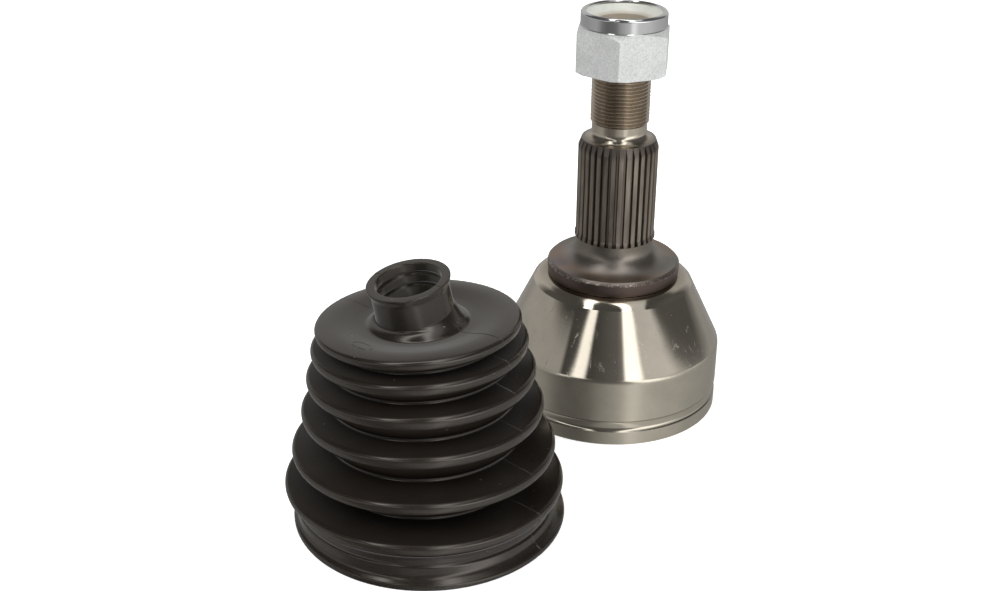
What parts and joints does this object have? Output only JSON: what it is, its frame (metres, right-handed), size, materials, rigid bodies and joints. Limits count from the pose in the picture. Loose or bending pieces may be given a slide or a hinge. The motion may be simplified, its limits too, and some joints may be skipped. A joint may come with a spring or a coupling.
{
  "type": "constant velocity joint",
  "caption": "Outer constant-velocity joint: machined steel bell with ball race, splined and threaded stub axle, self-locking hub nut, and a pleated rubber boot beside it.",
  "frame": {"origin": "on the joint's axis in the plane of the bell's mouth rim, on which the joint stands", "axes": "+Z along the stub axle towards the hub nut; the boot stands beside the joint towards -X and -Y"},
  "size_m": [0.1768, 0.1911, 0.1716],
  "materials": {
    "forged_steel": "turned and polished bell, hardened dark stub",
    "race_steel": "ground",
    "cage_steel": "ground, phosphated",
    "ball_steel": "lapped",
    "spring_steel": "oiled",
    "zinc_plate": "zinc plated",
    "nylon": "translucent white",
    "boot_rubber": "satin"
  },
  "bodies": {
    "outer_race_body": {"outer_race": "forged_steel"},
    "inner_race_body": {"inner_race": "race_steel", "shaft_circlip": "spring_steel"},
    "cage_body": {"ball_cage": "cage_steel"},
    "ball_1_body": {"ball_1": "ball_steel"},
    "ball_2_body": {"ball_2": "ball_steel"},
    "ball_3_body": {"ball_3": "ball_steel"},
    "ball_4_body": {"ball_4": "ball_steel"},
    "ball_5_body": {"ball_5": "ball_steel"},
    "ball_6_body": {"ball_6": "ball_steel"},
    "nut_body": {"hub_nut": "zinc_plate", "nut_insert": "nylon"},
    "boot_body": {"boot": "boot_rubber"}
  },
  "joints": [
    {"name": "bend", "type": "hinge", "parent": "outer_race_body", "child": "inner_race_body", "pos_m": [0, 0, 0.022], "axis": [1, 0, 0], "range_deg": [-45, 45]},
    {"name": "cage_tilt", "type": "hinge", "parent": "outer_race_body", "child": "cage_body", "pos_m": [0, 0, 0.022], "axis": [1, 0, 0], "range_deg": [-23, 23]},
    {"name": "ball_1_roll", "type": "hinge", "parent": "outer_race_body", "child": "ball_1_body", "pos_m": [0, 0, 0.022], "axis": [1, 0, 0], "range_deg": [-23, 23]},
    {"name": "ball_2_roll", "type": "hinge", "parent": "outer_race_body", "child": "ball_2_body", "pos_m": [0, 0, 0.022], "axis": [0.5, 0.866, 0], "range_deg": [-12, 12]},
    {"name": "ball_3_roll", "type": "hinge", "parent": "outer_race_body", "child": "ball_3_body", "pos_m": [0, 0, 0.022], "axis": [-0.5, 0.866, 0], "range_deg": [-12, 12]},
    {"name": "ball_4_roll", "type": "hinge", "parent": "outer_race_body", "child": "ball_4_body", "pos_m": [0, 0, 0.022], "axis": [-1, 0, 0], "range_deg": [-23, 23]},
    {"name": "ball_5_roll", "type": "hinge", "parent": "outer_race_body", "child": "ball_5_body", "pos_m": [0, 0, 0.022], "axis": [-0.5, -0.866, 0], "range_deg": [-12, 12]},
    {"name": "ball_6_roll", "type": "hinge", "parent": "outer_race_body", "child": "ball_6_body", "pos_m": [0, 0, 0.022], "axis": [0.5, -0.866, 0], "range_deg": [-12, 12]},
    {"name": "nut_spin", "type": "hinge", "parent": "outer_race_body", "child": "nut_body", "pos_m": [0, 0, 0.14725], "axis": [0, 0, 1], "continuous": true},
    {"name": "boot_lift", "type": "slide", "parent": "outer_race_body", "child": "boot_body", "axis": [0, 0, 1], "range_m": [0, 0.12]}
  ],
  "couplings": [
    {"joint": "cage_tilt", "follows": "bend", "ratio": 0.5},
    {"joint": "ball_1_roll", "follows": "bend", "ratio": 0.5},
    {"joint": "ball_2_roll", "follows": "bend", "ratio": 0.2575},
    {"joint": "ball_3_roll", "follows": "bend", "ratio": -0.2575},
    {"joint": "ball_4_roll", "follows": "bend", "ratio": -0.5},
    {"joint": "ball_5_roll", "follows": "bend", "ratio": -0.2575},
    {"joint": "ball_6_roll", "follows": "bend", "ratio": 0.2575}
  ]
}
